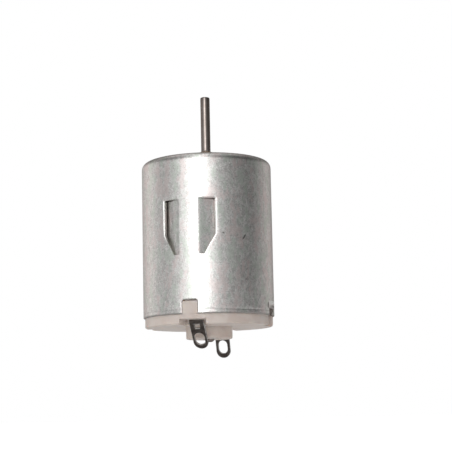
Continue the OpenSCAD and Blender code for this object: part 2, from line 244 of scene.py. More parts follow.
def fill(keys, step):
    """The sorted keys with even values added wherever two of them are further apart than step."""
    keys = sorted(set(round(k, KEY_DIGITS) for k in keys))
    out = [keys[0]]
    for a, b in zip(keys, keys[1:]):
        count = max(1, math.ceil((b - a) / step - GAP_SLACK))
        out += [between((k + 1) / count, a, b) for k in range(count)]
    return out


def arc(centre, radius, start, end, count):
    """Points (r, z) of an arc from start to end degrees, measured from +r towards +z."""
    angles = [math.radians(between(k / count, start, end)) for k in range(count + 1)]
    return [(centre[0] + radius * math.cos(a), centre[1] + radius * math.sin(a)) for a in angles]


def make_object(name, mesh):
    obj = bpy.data.objects.new(name, mesh)
    bpy.context.collection.objects.link(obj)
    return obj


def smooth(obj):
    """Smooth shading that breaks at sharp edges."""
    obj.data.polygons.foreach_set("use_smooth", [True] * len(obj.data.polygons))
    obj.data.set_sharp_from_angle(angle=math.radians(SHARP_ANGLE))


def mark_faces(obj, name, marks):
    """Stores one value for each face, which the material reads."""
    obj.data.attributes.new(name, "FLOAT", "FACE").data.foreach_set("value", marks)


def from_bmesh(name, bm):
    bmesh.ops.recalc_face_normals(bm, faces=bm.faces)
    mesh = bpy.data.meshes.new(name)
    bm.to_mesh(mesh)
    bm.free()
    return make_object(name, mesh)


def lathe(name, profile, segments, closed=True):
    """Turns a profile of (r, z) points in metres round Z; a point with r = 0 becomes a pole."""
    bm = bmesh.new()
    rings = []
    for r, z in profile:
        if r < ON_AXIS:
            rings.append([bm.verts.new((0, 0, z))] * segments)
        else:
            rings.append([bm.verts.new(on_can(360 * k / segments, z, r)) for k in range(segments)])
    pairs = list(zip(rings, rings[1:]))
    if closed:
        pairs.append((rings[-1], rings[0]))
    for a, b in pairs:
        for k in range(segments):
            n = (k + 1) % segments
            corners = []
            for v in (a[k], a[n], b[n], b[k]):
                if v not in corners:
                    corners.append(v)
            if len(corners) > 2:
                bm.faces.new(corners)
    obj = from_bmesh(name, bm)
    smooth(obj)
    return obj


def apply_modifiers(obj):
    """Bakes the modifiers of an object into its mesh."""
    bpy.context.view_layer.update()
    baked = bpy.data.meshes.new_from_object(obj.evaluated_get(bpy.context.evaluated_depsgraph_get()))
    obj.modifiers.clear()
    obj.data = baked


def soften(node, name, width, edge_highlight=False):
    """A copy of a CAD node with flat faces merged and sharp edges rounded, and the edges' strips marked
    for a painted highlight if asked.
    """
    mesh = frame["nodes"][node].data.copy()
    mesh.materials.clear()
    bm = bmesh.new()
    bm.from_mesh(mesh)
    bmesh.ops.remove_doubles(bm, verts=bm.verts, dist=WELD)
    bmesh.ops.dissolve_limit(bm, angle_limit=FLAT_ANGLE, verts=bm.verts, edges=bm.edges)
    bm.to_mesh(mesh)
    bm.free()
    obj = make_object(name, mesh)
    bevel = obj.modifiers.new("edges", "BEVEL")
    bevel.width = width
    bevel.segments = BEVEL_SEGMENTS
    bevel.limit_method = "ANGLE"
    bevel.angle_limit = math.radians(SHARP_ANGLE)
    apply_modifiers(obj)
    if edge_highlight:
        mark_edge_highlight(obj, width)
    smooth(obj)
    return obj


def mark_edge_highlight(obj, width):
    """Marks the narrow strips of the rounded edges for the material's painted highlight."""
    marks = []
    for face in obj.data.polygons:
        corners = [obj.data.vertices[v].co for v in face.vertices]
        outline = sum((a - b).length for a, b in zip(corners, corners[1:] + corners[:1]))
        marks.append(float(2 * face.area / outline < width))
    mark_faces(obj, EDGE_HIGHLIGHT, marks)


def finish_piece(obj, body, material, slot, *nodes):
    """Gives a piece its body and its material, and hides the CAD nodes that it stands for."""
    obj.data.materials.clear()
    obj.data.materials.append(material)
    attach(obj, body)
    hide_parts(*nodes)


# ---------------------------------------------------------------- the can

# The drawn can, in mm and degrees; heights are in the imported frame, so they are negative below the face
CAN = CAN_R / MM
RIM = RIM_Z / MM
WALL = 0.8
SHOULDER = 1.45
INNER_CORNER = SHOULDER - WALL
BOSS = BOSS_R / MM
BOSS_H = BOSS_Z / MM
BOSS_CORNER = 0.5
BOSS_FOOT = 0.15
BORE = BEARING_R / MM
BORE_EDGE = 0.05
# Height where the grid of the wall meets the crown
SEAM = -1.7
# Radii of the crown's rings on the outside and on the inside of the face
FACE_RINGS = (12.1, 11.3, 10.0, 8.5, 7.0, 5.5, 4.3)
BACK_RINGS = (3.2, 5.0, 7.0, 9.0, 11.0)

# Lanced magnet stops: bent at one side and sheared along the others
STOP_BEND = 7.7
STOP_EDGE = 23.0
STOP_TOP = -9.75
STOP_TAPER = -17.0
STOP_BOTTOM = -21.1
STOP_DEPTH = 1.25
STOP_TIP = 0.4
STOP_ROLL = 0.36
STOP_ROLL_LOW = 0.06
STOP_ROLL_FADE = 1.3
STOP_CREASE = 0.6
TAB_ROLL = 0.1
STOP_X0 = CAN * math.sin(math.radians(STOP_BEND))
STOP_X1 = CAN * math.sin(math.radians(STOP_EDGE))
STOP_TIP_X = between(STOP_TIP, STOP_X0, STOP_X1)
STOP_Y0 = CAN * math.cos(math.radians(STOP_BEND))
STOP_Y1 = CAN * math.cos(math.radians(STOP_EDGE)) - STOP_DEPTH
TAPER_SPREAD = 36.0
TAPER_RELAX = 3.0

# Notches in the rim for the cap's keys, on -Y and +Y
NOTCH_HALF = 1.65
NOTCH_TOP = RIM + 2.85
NOTCH_CORNER = 0.45
NOTCH_ROLL = 0.2
NOTCH_ANGLE = math.degrees(math.asin(NOTCH_HALF / CAN))
NOTCH_SPREAD = 15.0
NOTCH_SHIFT_TOP = -24.5
NOTCH_SHIFT_LEN = 4.5
NOTCH_RELAX = 2.5

# Crimps in the rim, on +X and -X: a pressed dent over a tongue that is folded in
HINGE = RIM + 1.4
CRIMP_HALF = 2.0
TONGUE_HALF = 1.6
CRIMP_ANGLE = math.degrees(math.asin(CRIMP_HALF / CAN))
TONGUE_ANGLE = math.degrees(math.asin(TONGUE_HALF / CAN))
TONGUE_LEAN = 28.0
TONGUE_BEND = 0.5
CRIMP_ROLL = 0.12
DENT_Z = RIM + 2.05
DENT_R = 1.1
DENT_DEPTH = 0.45
DENT_HALF = 1.8
DENT_FADE = 0.25

# A faint groove that runs round the can above its rim, and the rounded rim itself
GROOVE_UP = 0.85
GROOVE_W = 0.30
GROOVE_DEPTH = 0.02
RIM_ROLL = 0.14

# Grid of the wall: distances of its lines from an edge, its widest gaps, and the rows over the dents
EDGE_STEPS = (0.02, 0.06, 0.14, 0.24, 0.36)
COLUMN_GAP = 2.0
ROW_GAP = 1.6
DENT_ROW_GAP = 0.15
DENT_UNDER = 0.6
DENT_OVER = 0.9
# A row closer than this to the hinge or to the notch's top gives way to it
ROW_CLEAR = 0.018

# Tapped holes in the face: countersink, thread depth and pitch, and where the cutter starts
HOLE_SINK = 0.15
HOLE_SINK_DEPTH = 0.12
THREAD_DEPTH = 0.2
THREAD_PITCH = 0.4
THREAD_TURNS = 3
CUTTER_TOP = 0.3
CUTTER_SEGMENTS = 48

# Face marks of the sheared edges and of the tongues, and the attribute that they become: sheared edges
# turn dark as dull cut steel and with painted shade, tongues with painted shade
CUT_EDGE = 1
TONGUE_SHADE = 2
SHEARED_AND_SHADE = "sheared"
SHEARED_AND_SHADE_VALUES = (0.0, 0.72, 1.0)


def taper_angle(z):
    """Angle of a stop's sheared edge; below the stop it eases back to the full width."""
    if z >= STOP_TAPER:
        return STOP_EDGE
    t = min(1.0, (STOP_TAPER - z) / (STOP_TAPER - STOP_BOTTOM))
    angle = math.degrees(math.asin(between(t, STOP_X1, STOP_TIP_X) / CAN))
    return between(smoothstep((STOP_BOTTOM - z) / TAPER_RELAX), angle, STOP_EDGE)


def column_angle(u, z):
    """Angle of a grid column at a height: it follows the stops, and near the rim the notch."""
    a = abs(u)
    if a < NOTCH_SPREAD:
        if a <= STOP_BEND:
            low = a * NOTCH_ANGLE / STOP_BEND
        else:
            low = between((a - STOP_BEND) / (NOTCH_SPREAD - STOP_BEND), NOTCH_ANGLE, NOTCH_SPREAD)
        a = between(smoothstep((NOTCH_SHIFT_TOP - z) / NOTCH_SHIFT_LEN), a, low)
    edge = taper_angle(z)
    if STOP_BEND < a <= STOP_EDGE:
        a = between((a - STOP_BEND) / (STOP_EDGE - STOP_BEND), STOP_BEND, edge)
    elif STOP_EDGE < a < TAPER_SPREAD:
        a = between((a - STOP_EDGE) / (TAPER_SPREAD - STOP_EDGE), edge, TAPER_SPREAD)
    return math.copysign(a, u)


def row_height(v, theta):
    """Height of a grid row at an angle: the rows near a notch's top follow its rounded corners."""
    off = abs(theta) if abs(theta) < 90 else 180 - abs(theta)
    x = CAN * math.sin(math.radians(min(off, 90)))
    if x <= NOTCH_HALF:
        side = max(0.0, x - NOTCH_HALF + NOTCH_CORNER)
        dip = NOTCH_CORNER - math.sqrt(max(0.0, NOTCH_CORNER ** 2 - side ** 2))
    else:
        dip = NOTCH_CORNER * (1 - smoothstep((x - NOTCH_HALF) / NOTCH_RELAX))
    if v <= NOTCH_TOP:
        return v - dip * (v - RIM) / (NOTCH_TOP - RIM)
    return v - dip * (1 - smoothstep((v - NOTCH_TOP) / NOTCH_RELAX))


def roll(distance, radius):
    """Depth of a rounded edge at a distance from it."""
    if distance >= radius:
        return 0.0
    return radius - math.sqrt(max(0.0, radius ** 2 - (radius - max(distance, 0.0)) ** 2))


def segment_distance(x, z, a, b):
    ax, az = a
    dx, dz = b[0] - ax, b[1] - az
    t = max(0.0, min(1.0, ((x - ax) * dx + (z - az) * dz) / (dx * dx + dz * dz)))
    return math.hypot(x - ax - t * dx, z - az - t * dz)


def stop_distances(x, z):
    """Distances from a stop's straight sheared edges and from its taper and bottom."""
    outline = ((STOP_X0, STOP_TOP), (STOP_X1, STOP_TOP), (STOP_X1, STOP_TAPER),
               (STOP_TIP_X, STOP_BOTTOM), (STOP_X0, STOP_BOTTOM))
    parts = [segment_distance(x, z, a, b) for a, b in zip(outline, outline[1:])]
    return min(parts[:2]), min(parts[2:])


def can_drop(theta, z):
    """How far the can's outside lies below its full radius: rolled edges, dents and groove."""
    a = math.radians(theta)
    x = abs(CAN * math.sin(a))
    y = abs(CAN * math.cos(a))
    drop = roll(z - RIM, RIM_ROLL)
    if abs(theta) < 90:
        fade = smoothstep((x - STOP_X0) / STOP_ROLL_FADE)
        straight, slanted = stop_distances(x, z)
        drop = max(drop, fade * roll(straight, STOP_ROLL), fade * roll(slanted, STOP_ROLL_LOW))
    over_x = max(0.0, x - NOTCH_HALF + NOTCH_CORNER)
    over_z = max(0.0, z - NOTCH_TOP + NOTCH_CORNER)
    corner = math.hypot(over_x, over_z)
    drop = max(drop, roll(corner - NOTCH_CORNER, NOTCH_ROLL))
    if z <= HINGE:
        drop = max(drop, roll(y - CRIMP_HALF, CRIMP_ROLL))
    lift = math.sqrt(max(0.0, DENT_R ** 2 - (z - DENT_Z) ** 2))
    dent = max(0.0, DENT_DEPTH - DENT_R + lift) * smoothstep((DENT_HALF - y) / DENT_FADE)
    groove = max(0.0, 1 - abs(z - RIM - GROOVE_UP) * 2 / GROOVE_W)
    return max(drop, dent, GROOVE_DEPTH * smoothstep(groove))


def can_place(u, v):
    """Outer and inner point of the can's wall."""
    z = row_height(v, column_angle(u, v))
    theta = column_angle(u, z)
    return on_can(theta, z, CAN - can_drop(theta, z)), on_can(theta, z, CAN - WALL)


def stop_place(u, v):
    """Outer and inner point of a stop's flat tab."""
    x = CAN * math.sin(math.radians(abs(column_angle(u, v))))
    run = x - STOP_X0
    bent = run ** 2 / (2 * STOP_CREASE) if run < STOP_CREASE else run - STOP_CREASE / 2
    start = math.tan(math.radians(STOP_BEND))
    fall = (STOP_Y0 - STOP_Y1) / (STOP_X1 - STOP_X0)
    depth = STOP_Y0 - start * run - (fall - start) * bent
    drop = roll(min(stop_distances(x, v)), TAB_ROLL) * smoothstep((x - STOP_X0) / STOP_ROLL_FADE)
    x = math.copysign(x, u)
    return Vector((x, drop - depth, v)), Vector((x, WALL - depth, v))


def tongue_place(u, v):
    """Outer and inner point of a crimp's tongue, which curls in below its hinge."""
    lean = math.radians(TONGUE_LEAN) * smoothstep((HINGE - v) / TONGUE_BEND)
    run = HINGE - v
    drop = roll(v - RIM, CRIMP_ROLL)
    out = CAN - run * math.sin(lean) - drop * math.cos(lean)
    z = HINGE - run * math.cos(lean) + drop * math.sin(lean)
    inner = CAN - run * math.sin(lean) - WALL * math.cos(lean)
    inner_z = HINGE - run * math.cos(lean) + WALL * math.sin(lean)
    return on_can(u, z, out), on_can(u, inner_z, inner)


def cell_part(u, v):
    """Which piece of the sheet a grid cell belongs to, or None where the sheet is open."""
    a = abs(u)
    if STOP_BEND < a < STOP_EDGE and STOP_BOTTOM < v < STOP_TOP:
        return "stop"
    if v < NOTCH_TOP and (a < STOP_BEND or a > 180 - NOTCH_ANGLE):
        return None
    if v < HINGE and abs(a - 90) < CRIMP_ANGLE:
        return "tongue" if abs(a - 90) < TONGUE_ANGLE else None
    return "can"


PLACES = {"can": can_place, "stop": stop_place, "tongue": tongue_place}


def can_columns():
    """Grid columns in degrees, close together at the edges of the openings."""
    to_angle = math.degrees(1 / CAN)
    half = [0, 180]
    for edge, sides in ((STOP_BEND, (-1, 1)), (STOP_EDGE, (-1, 1)), (90 - CRIMP_ANGLE, (-1,)),
                        (90 + CRIMP_ANGLE, (1,)), (180 - NOTCH_ANGLE, (-1, 1))):
        half += [edge] + [edge + s * d * to_angle for s in sides for d in EDGE_STEPS]
    half += [90 - TONGUE_ANGLE, 90 + TONGUE_ANGLE]
    inside = NOTCH_CORNER * to_angle
    half += [STOP_BEND - inside * STOP_BEND / NOTCH_ANGLE, 180 - NOTCH_ANGLE + inside]
    half = fill(half, COLUMN_GAP)
    return [-u for u in reversed(half[1:-1])] + half


def can_rows():
    """Grid rows in mm, from the seam under the shoulder down to the rim."""
    rows = [SEAM, RIM, STOP_TAPER, HINGE]
    for edge, sides in ((STOP_TOP, (-1, 1)), (STOP_BOTTOM, (-1, 1)), (RIM, (1,)), (NOTCH_TOP, (1,))):
        rows += [edge] + [edge + s * d for s in sides for d in EDGE_STEPS]
    rows += [RIM + GROOVE_UP + s * GROOVE_W / 4 for s in (-2, -1, 0, 1, 2)]
    rows += fill([DENT_Z - DENT_UNDER, DENT_Z + DENT_OVER], DENT_ROW_GAP)
    rows = [r for r in rows if all(abs(r - k) > ROW_CLEAR or r == k for k in (HINGE, NOTCH_TOP))]
    return list(reversed(fill(rows, ROW_GAP)))


def crown_profile():
    """Shoulder, face, boss and bore, from the outside of the can over to its inside."""
    points = arc((CAN - SHOULDER, -SHOULDER), SHOULDER, 0, 90, count=12)
    points += [(r, 0.0) for r in FACE_RINGS]
    points += arc((BOSS + BOSS_FOOT, BOSS_FOOT), BOSS_FOOT, 270, 180, count=4)
    points += arc((BOSS - BOSS_CORNER, BOSS_H - BOSS_CORNER), BOSS_CORNER, 0, 90, count=8)
    points += arc((BORE + BORE_EDGE, BOSS_H - BORE_EDGE), BORE_EDGE, 90, 180, count=3)
    points += arc((BORE + BORE_EDGE, BORE_EDGE - WALL), BORE_EDGE, 180, 270, count=3)
    points += [(r, -WALL) for r in BACK_RINGS]
    inner = CAN - WALL - INNER_CORNER
    return points + arc((inner, -WALL - INNER_CORNER), INNER_CORNER, 90, 0, count=4)


def build_can():
    """One watertight sheet: quads round the can with stops, notches and crimps, and its crown."""
    bm = bmesh.new()
    columns = can_columns()
    rows = can_rows()
    count = len(columns)
    made = {}
    inner_of = {}

    def corner(i, j, part):
        i %= count
        u, v = columns[i], rows[j]
        on_bend = part == "stop" and abs(abs(u) - STOP_BEND) < WELD_MM
        if on_bend or (part == "tongue" and v > HINGE - WELD_MM):
            part = "can"
        key = (i, j, part)
        if key not in made:
            out, inner = PLACES[part](u, v)
            made[key] = bm.verts.new(out * MM)
            inner_of[made[key]] = bm.verts.new(inner * MM)
        return made[key]

    for j in range(len(rows) - 1):
        for i in range(count):
            width = (columns[(i + 1) % count] - columns[i]) % 360
            part = cell_part(columns[i] + width / 2, (rows[j] + rows[j + 1]) / 2)
            if part is None:
                continue
            out = [corner(i + di, j + dj, part) for di, dj in ((0, 0), (1, 0), (1, 1), (0, 1))]
            face = bm.faces.new(out)
            # A tongue is marked for painted shade
            face.material_index = TONGUE_SHADE if part == "tongue" else 0
            bm.faces.new([inner_of[v] for v in reversed(out)])
    top = [made[(i, 0, "can")] for i in range(count)]
    top_set = set(top)
    open_edges = [e for e in bm.edges if len(e.link_faces) == 1 and e.verts[0] in inner_of]
    for e in open_edges:
        a, b = e.verts
        if a in top_set and b in top_set:
            continue
        face = bm.faces.new([b, a, inner_of[a], inner_of[b]])
        face.material_index = CUT_EDGE
    rings = [top]
    for r, z in crown_profile():
        rings.append([bm.verts.new(on_can(u, z, r) * MM) for u in columns])
    rings.append([inner_of[v] for v in top])
    for a, b in zip(rings, rings[1:]):
        for i in range(count):
            n = (i + 1) % count
            bm.faces.new([a[i], a[n], b[n], b[i]])
    obj = from_bmesh("can_shell", bm)
    for side in (-1, 1):
        drill_face_hole(obj, side * FACE_HOLE_X)
    mark_sheared_and_shade(obj)
    smooth(obj)
    return obj


def mark_sheared_and_shade(obj):
    """Turns the marks on the faces into an attribute that the material reads for dull cut edges and
    painted shade.
    """
    marks = [SHEARED_AND_SHADE_VALUES[p.material_index] for p in obj.data.polygons]
    obj.data.polygons.foreach_set("material_index", [0] * len(marks))
    mark_faces(obj, SHEARED_AND_SHADE, marks)


def drill_face_hole(obj, x):
    """Cuts one tapped hole through the face: a small countersink and a few turns of thread."""
    hole = FACE_HOLE_R / MM
    profile = [(0, CUTTER_TOP), (hole + HOLE_SINK + CUTTER_TOP, CUTTER_TOP)]
    profile += [(hole + HOLE_SINK, 0.0), (hole, -HOLE_SINK_DEPTH)]
    for k in range(THREAD_TURNS):
        z = -HOLE_SINK_DEPTH - k * THREAD_PITCH
        profile += [(hole + THREAD_DEPTH, z - THREAD_PITCH / 2), (hole, z - THREAD_PITCH)]
    profile += [(0, profile[-1][1])]
    points = [(r * MM, z * MM) for r, z in profile]
    cutter = lathe("cutter", points, CUTTER_SEGMENTS, closed=False)
    cutter.location.x = x
    cut = obj.modifiers.new("hole", "BOOLEAN")
    cut.operation = "DIFFERENCE"
    cut.solver = "EXACT"
    cut.object = cutter
    apply_modifiers(obj)
    bpy.data.objects.remove(cutter)


# ---------------------------------------------------------------- turned pieces

SHAFT_SEGMENTS = 64
BEARING_SEGMENTS = 80

# Shaft, in metres: oil groove above the bearing, rounded tip and domed tail
OIL_GROOVE_R = 0.8 * MM
OIL_GROOVE_LO = 1.75 * MM
OIL_GROOVE_HI = 2.5 * MM
OIL_GROOVE_EDGE = 0.06 * MM
SHAFT_TIP = 0.25 * MM
SHAFT_TAIL = 0.6 * MM

# Bearings, in metres: bore, thin nose of the front one, chamfers and small edge radii
BEARING_BORE = 1.02 * MM
NOSE_R = 1.75 * MM
CHAMFER = 0.25 * MM
EDGE_R = 0.1 * MM


def build_shaft():
    """Ground shaft: rounded tip, oil groove above the bearing and domed tail."""
    lo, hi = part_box("shaft")
    r = hi.x
    upper = OIL_GROOVE_HI + OIL_GROOVE_EDGE
    lower = OIL_GROOVE_LO - OIL_GROOVE_EDGE
    profile = [(0, hi.z)] + arc((r - SHAFT_TIP, hi.z - SHAFT_TIP), SHAFT_TIP, 90, 0, count=6)
    profile += [(r, between(k / 6, hi.z - SHAFT_TIP, upper)) for k in range(1, 6)]
    profile += arc((r - OIL_GROOVE_EDGE, upper), OIL_GROOVE_EDGE, 0, -90, count=3)
    profile += [(OIL_GROOVE_R, OIL_GROOVE_HI), (OIL_GROOVE_R, OIL_GROOVE_LO)]
    profile += arc((r - OIL_GROOVE_EDGE, lower), OIL_GROOVE_EDGE, 90, 0, count=3)
    profile += [(r, between(k / 10, lower, lo.z + SHAFT_TAIL)) for k in range(1, 10)]
    profile += arc((r - SHAFT_TAIL, lo.z + SHAFT_TAIL), SHAFT_TAIL, 0, -90, count=8) + [(0, lo.z)]
    return lathe("motor_shaft", profile, SHAFT_SEGMENTS, closed=False)


def build_front_bearing():
    """Sintered bearing whose thin nose stands out of the boss."""
    lo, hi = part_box("front_bearing")
    outer, top = hi.x, hi.z
    profile = [(BEARING_BORE + EDGE_R, top), (NOSE_R - CHAMFER, top)]
    profile += arc((NOSE_R - CHAMFER, top - CHAMFER), CHAMFER, 90, 0, count=5)[1:]
    profile += [(NOSE_R, BOSS_Z + EDGE_R)]
    profile += arc((NOSE_R + EDGE_R, BOSS_Z + EDGE_R), EDGE_R, 180, 270, count=3)[1:]
    profile += arc((outer - EDGE_R, BOSS_Z - EDGE_R), EDGE_R, 90, 0, count=3)
    profile += [(outer, lo.z + CHAMFER), (outer - CHAMFER, lo.z), (BEARING_BORE + EDGE_R, lo.z)]
    profile += [(BEARING_BORE, lo.z + EDGE_R), (BEARING_BORE, top - EDGE_R)]
    return lathe("front_bearing_bush", profile, BEARING_SEGMENTS)


def build_rear_bearing():
    """Sintered bearing in the cap, chamfered at both ends."""
    lo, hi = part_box("rear_bearing")
    outer = hi.x
    profile = [(BEARING_BORE + EDGE_R, hi.z), (outer - CHAMFER, hi.z)]
    profile += arc((outer - CHAMFER, hi.z - CHAMFER), CHAMFER, 90, 0, count=4)[1:]
    profile += arc((outer - CHAMFER, lo.z + CHAMFER), CHAMFER, 0, -90, count=4)
    profile += [(BEARING_BORE + EDGE_R, lo.z), (BEARING_BORE, lo.z + EDGE_R)]
    profile += [(BEARING_BORE, hi.z - EDGE_R)]
    return lathe("rear_bearing_bush", profile, BEARING_SEGMENTS)


# ---------------------------------------------------------------- materials

# Noise values between which a mottle goes from its dark tone to its light one, and a roughness changes
MOTTLE = (0.32, 0.68)
NOISE_RANGE = (0.3, 0.7)
# How much finer the bump of a metal and of a matte is than its mottle
FINE_METAL = 9
FINE_MATTE = 8

# Plating of the can: mottle, pink and green stains, and the tones of marks, of painted shade in the left
# stop, of the groove's darkening and the painted shadow at the rim, and of cut edges with painted shade
PLATING_DARK = (0.56, 0.55, 0.53)
PLATING_LIGHT = (0.98, 0.97, 0.95)
PINK_STAIN = (0.84, 0.73, 0.71)
GREEN_STAIN = (0.68, 0.75, 0.67)
MARK_TONE = (0.20, 0.19, 0.18)
STOP_SHADE_TONE = (0.18, 0.165, 0.155)
RIM_DARK_TONE = (0.22, 0.20, 0.19)
SHEARED_AND_SHADE_TONE = (0.15, 0.12, 0.10)

# How much of the colour below each of them covers
STAIN_SHARE = 0.60
MARK_SHARE = 0.85
STOP_SHADE_SHARE = 0.5
GROOVE_DARK_SHARE = 0.18
RIM_SHADE_SHARE = 0.60
SHEARED_AND_SHADE_SHARE = 0.95

# Noise values between which the pink stains set in and the green ones fade out
PINK_RANGE = (0.50, 0.62)
GREEN_RANGE = (0.38, 0.50)

# Roughness of the plating, its change over the mottle, and what a sheared edge adds
PLATING_ROUGH = (0.29, 0.34)
MOTTLE_ROUGH = (-0.02, 0.02)
SHEARED_ROUGH = 0.2

# Relief of the plating: shares of draw lines, mottle and marks, its depth in mm and its strength
DRAWN_RELIEF = 0.5
MOTTLE_RELIEF = 0.25
MARK_RELIEF = 0.8
PLATING_DEPTH = 0.005
PLATING_STRENGTH = 0.5

# Dark marks on the can: angle round it, height, half length, half width and tilt, in degrees and mm.
# The first two are from handling, and the last is painted shade for the dark side of the dent over the +X
# crimp.
HANDLING_MARKS_AND_DENT_SHADE = (
    (49.2, -17.6, 0.65, 0.17, 52.0),
    (30.0, -16.9, 0.24, 0.17, 0.0),
    (79.6, DENT_Z - 0.05, 0.62, 0.34, 86.0),
)
# How deep a mark reaches in mm, and the squares of the distances where it is full and where it ends
MARK_REACH = 1.0
MARK_FULL = 0.4
MARK_END = 1.6

# Painted shade in the deep end of the left stop, in mm: where it is full and where it ends, by radius and
# X
STOP_SHADE_FULL = 12.9
STOP_SHADE_END = 13.6
STOP_SHADE_X_FULL = -2.0
STOP_SHADE_X_END = -1.5
STOP_SHADE_EASE = 1

# Darkening along the groove, and painted shadow along the rim where the cap meets it, in mm: the
# distances where it is full and where it ends
DARK_NEAR = 0.05
GROOVE_DARK_FAR = 0.2
RIM_SHADE_FAR = 0.40

# Nylon: its two tones, its roughness, and how far light spreads inside it
NYLON_DARK = (0.72, 0.62, 0.56)
NYLON_LIGHT = (0.80, 0.72, 0.66)
NYLON_ROUGH = (0.38, 0.5)
NYLON_DEPTH = 0.01
NYLON_INNER_SHARE = 0.25
NYLON_INNER_TINT = (1.0, 0.75, 0.55)
NYLON_INNER_REACH = 0.6


def dress(nodes, shader, tone, rough, normal):
    """Links a material's colour, roughness and relief."""
    nodes.link(tone, shader.inputs["Base Color"])
    nodes.link(rough, shader.inputs["Roughness"])
    nodes.link(normal, shader.inputs["Normal"])


def dark_mark(nodes, place, angle, height, half_long, half_wide, tilt):
    """One small dark mark on the can's outside: 1 inside a thin ellipse, easing to 0 round it."""
    a = math.radians(angle)
    t = math.radians(tilt)
    across = Vector((math.cos(a), math.sin(a), 0))
    up = Vector((0, 0, 1))
    long_way = across * math.cos(t) + up * math.sin(t)
    wide_way = up * math.cos(t) - across * math.sin(t)
    from_centre = nodes.add("ShaderNodeVectorMath", operation="SUBTRACT")
    nodes.link(place, from_centre.inputs[0])
    from_centre.inputs[1].default_value = on_can(angle, height, CAN) * MM
    squares = []
    for way, half in ((long_way, half_long), (wide_way, half_wide), (up.cross(across), MARK_REACH)):
        along = nodes.dot(from_centre.outputs[0], way / (half * MM))
        squares.append(nodes.math("POWER", nodes.math("ABSOLUTE", along), 2.0))
    total = nodes.sum(nodes.sum(squares[0], squares[1]), squares[2])
    return nodes.spread(total, MARK_FULL, MARK_END, 1.0, 0.0)


def stop_shade(nodes, place, parts):
    """Painted shade in the deep end of the left stop."""
    radius = nodes.add("ShaderNodeVectorMath", operation="LENGTH")
    nodes.link(nodes.stretch(place, (1, 1, 0)), radius.inputs[0])
    full, end = STOP_SHADE_FULL * MM, STOP_SHADE_END * MM
    deep = nodes.spread(radius.outputs["Value"], full, end, STOP_SHADE_SHARE, 0)
    left = nodes.spread(parts["X"], STOP_SHADE_X_FULL * MM, STOP_SHADE_X_END * MM, 1, 0)
    under = nodes.spread(parts["Z"], STOP_TOP * MM, (STOP_TOP + STOP_SHADE_EASE) * MM, 1, 0)
    over = nodes.spread(parts["Z"], (STOP_BOTTOM - STOP_SHADE_EASE) * MM, STOP_BOTTOM * MM, 0, 1)
    return nodes.scaled(nodes.scaled(deep, left), nodes.scaled(under, over))


def rim_shade_and_groove_line(nodes, height):
    """Darkening in the groove above the rim, and painted shadow along the rim where the cap meets it."""
    from_groove = nodes.math("ABSOLUTE", nodes.math("SUBTRACT", height, RIM_Z + GROOVE_UP * MM))
    near = DARK_NEAR * MM
    in_groove = nodes.spread(from_groove, near, GROOVE_DARK_FAR * MM, GROOVE_DARK_SHARE, 0)
    from_rim = nodes.math("SUBTRACT", height, RIM_Z)
    at_rim = nodes.spread(from_rim, near, RIM_SHADE_FAR * MM, RIM_SHADE_SHARE, 0)
    return nodes.math("MAXIMUM", in_groove, at_rim)


def can_steel():
    """Satin nickel-plated steel: fine mottle, faint draw lines along the axis, stains and handling marks,
    with painted shade beside the crimp's dent, in the left stop, along the rim and on the cut edges and
    tongues.
    """
    material, nodes, shader, place = new_material("can_steel", (0.70, 0.69, 0.68))
    parts = nodes.axes(place)
    grain = nodes.noise(place, 4200, detail=1, rough=0.6)
    cloud = nodes.noise(nodes.stretch(place, (1, 1, 0.7)), 1500, detail=3, rough=0.6)
    drawn = nodes.noise(nodes.stretch(place, (1, 1, 0.08)), 2600, detail=3, rough=0.6)
    wide = nodes.noise(place, 160, detail=2, rough=0.5)
    stain = nodes.noise(nodes.stretch(place, (1, 1, 0.5)), 520, detail=4, rough=0.68)
    mottle = nodes.sum(nodes.scaled(cloud, 0.45), nodes.scaled(grain, 0.55))
    marks = 0.0
    for mark in HANDLING_MARKS_AND_DENT_SHADE:
        marks = nodes.math("MAXIMUM", dark_mark(nodes, place, *mark), marks)
    sheared = nodes.attribute(SHEARED_AND_SHADE)

    tone = nodes.mix(nodes.spread(mottle, *MOTTLE), rgb(*PLATING_DARK), rgb(*PLATING_LIGHT))
    tone = nodes.mix(nodes.spread(stain, *PINK_RANGE, 0, STAIN_SHARE), tone, rgb(*PINK_STAIN))
    tone = nodes.mix(nodes.spread(stain, *GREEN_RANGE, STAIN_SHARE, 0), tone, rgb(*GREEN_STAIN))
    # Handling marks, and painted shade beside the crimp's dent
    tone = nodes.mix(nodes.scaled(marks, MARK_SHARE), tone, rgb(*MARK_TONE))
    # Painted shade in the deep end of the left stop
    tone = nodes.mix(stop_shade(nodes, place, parts), tone, rgb(*STOP_SHADE_TONE))
    # Darkening along the groove, and painted shadow along the rim where the cap meets it
    tone = nodes.mix(rim_shade_and_groove_line(nodes, parts["Z"]), tone, rgb(*RIM_DARK_TONE))
    # Sheared edges darken as dull cut steel and with painted shade, and the tongues with painted shade
    tone = nodes.mix(nodes.scaled(sheared, SHEARED_AND_SHADE_SHARE), tone, rgb(*SHEARED_AND_SHADE_TONE))

    rough = nodes.spread(wide, *NOISE_RANGE, *PLATING_ROUGH)
    rough = nodes.sum(rough, nodes.spread(cloud, *NOISE_RANGE, *MOTTLE_ROUGH))
    rough = nodes.sum(rough, nodes.scaled(sheared, SHEARED_ROUGH))
    relief = nodes.sum(nodes.scaled(drawn, DRAWN_RELIEF), nodes.scaled(cloud, MOTTLE_RELIEF))
    relief = nodes.math("SUBTRACT", relief, nodes.scaled(marks, MARK_RELIEF))
    shader.inputs["Metallic"].default_value = 1
    dress(nodes, shader, tone, rough, nodes.bump(relief, PLATING_DEPTH * MM, PLATING_STRENGTH))
    return material


